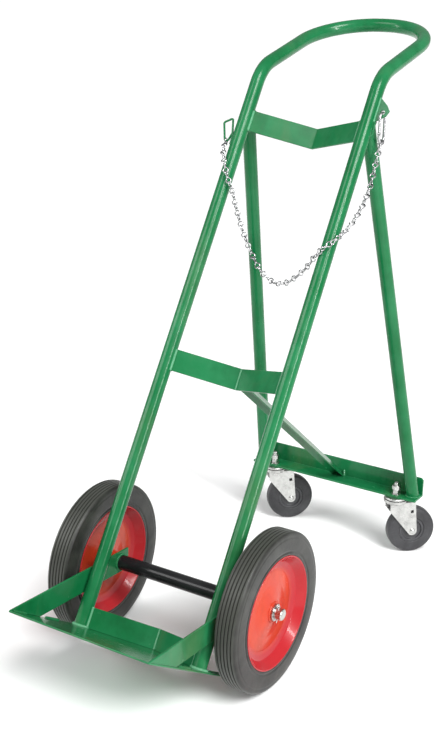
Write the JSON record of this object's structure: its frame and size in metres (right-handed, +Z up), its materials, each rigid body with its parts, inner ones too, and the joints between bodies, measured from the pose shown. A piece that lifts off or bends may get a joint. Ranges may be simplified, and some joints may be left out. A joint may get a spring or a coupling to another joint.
{
  "type": "oxy acetylene torch cart",
  "caption": "Welded tube cart that carries a gas cylinder leaning back over large axle wheels and swivel casters, with toe plate, V cradles, handle and chain.",
  "frame": {"origin": "on the floor, midway between the axle's ends and midway along the cart's length", "axes": "+Z up, +Y towards the handle and the casters, X along the main axle"},
  "size_m": [0.5168, 1.267, 1.3301],
  "materials": {
    "green_paint": "gloss enamel",
    "red_paint": "gloss enamel",
    "black_paint": "gloss enamel",
    "zinc_plate": "bright zinc plate",
    "tyre_rubber": "moulded solid rubber",
    "bronze": "plain bearing bronze",
    "ball_steel": "ground",
    "caster_plastic": "moulded",
    "caster_rubber": "moulded"
  },
  "bodies": {
    "frame": {"frame_tube": "green_paint", "toe_plate": "green_paint", "left_side_rail": "green_paint", "right_side_rail": "green_paint", "upper_bracket": "green_paint", "middle_bracket": "green_paint", "lower_bracket": "green_paint", "left_rear_leg": "green_paint", "right_rear_leg": "green_paint", "rear_crossbar": "green_paint", "rear_strut": "green_paint", "axle_tube": "black_paint", "axle": "zinc_plate", "axle_inner_washers": "zinc_plate", "axle_outer_washers": "zinc_plate", "axle_split_pins": "zinc_plate", "left_chain_eye": "green_paint", "right_chain_tab": "green_paint", "chain": "zinc_plate", "snap_hook": "zinc_plate", "snap_hook_rivet": "zinc_plate", "caster_washers": "zinc_plate", "caster_nuts": "zinc_plate", "left_caster_cap": "zinc_plate", "left_caster_stem": "zinc_plate", "right_caster_cap": "zinc_plate", "right_caster_stem": "zinc_plate"},
    "hook_gate": {"snap_hook_gate": "zinc_plate"},
    "left_wheel": {"left_tyre": "tyre_rubber", "left_outer_disc": "red_paint", "left_inner_disc": "red_paint", "left_hub": "red_paint", "left_hub_bushes": "bronze"},
    "left_caster": {"left_caster_balls": "ball_steel", "left_caster_fork": "zinc_plate", "left_caster_axle_bolt": "zinc_plate", "left_caster_axle_nut": "zinc_plate", "left_caster_bush": "zinc_plate"},
    "left_caster_wheel": {"left_caster_core": "caster_plastic", "left_caster_tyre": "caster_rubber"},
    "right_wheel": {"right_tyre": "tyre_rubber", "right_outer_disc": "red_paint", "right_inner_disc": "red_paint", "right_hub": "red_paint", "right_hub_bushes": "bronze"},
    "right_caster": {"right_caster_balls": "ball_steel", "right_caster_fork": "zinc_plate", "right_caster_axle_bolt": "zinc_plate", "right_caster_axle_nut": "zinc_plate", "right_caster_bush": "zinc_plate"},
    "right_caster_wheel": {"right_caster_core": "caster_plastic", "right_caster_tyre": "caster_rubber"}
  },
  "joints": [
    {"name": "left_wheel_spin", "type": "hinge", "parent": "frame", "child": "left_wheel", "pos_m": [-0.2145, -0.26239, 0.175], "axis": [1, 0, 0], "continuous": true},
    {"name": "left_caster_swivel", "type": "hinge", "parent": "frame", "child": "left_caster", "pos_m": [-0.1795, 0.45781, 0.15], "axis": [0, 0, 1], "continuous": true},
    {"name": "left_caster_spin", "type": "hinge", "parent": "left_caster", "child": "left_caster_wheel", "pos_m": [-0.14793, 0.48788, 0.0625], "axis": [0.6896, -0.7242, 0], "continuous": true},
    {"name": "right_wheel_spin", "type": "hinge", "parent": "frame", "child": "right_wheel", "pos_m": [0.2145, -0.26239, 0.175], "axis": [1, 0, 0], "continuous": true},
    {"name": "right_caster_swivel", "type": "hinge", "parent": "frame", "child": "right_caster", "pos_m": [0.1795, 0.45781, 0.15], "axis": [0, 0, 1], "continuous": true},
    {"name": "right_caster_spin", "type": "hinge", "parent": "right_caster", "child": "right_caster_wheel", "pos_m": [0.21107, 0.48788, 0.0625], "axis": [0.6896, -0.7242, 0], "continuous": true},
    {"name": "hook_gate_hinge", "type": "hinge", "parent": "frame", "child": "hook_gate", "pos_m": [0.182, 0.22389, 1.10985], "axis": [-1, 0, 0], "range_deg": [0, 35], "stiffness_Nm_per_rad": 0.05, "springref_deg": -11.46}
  ]
}
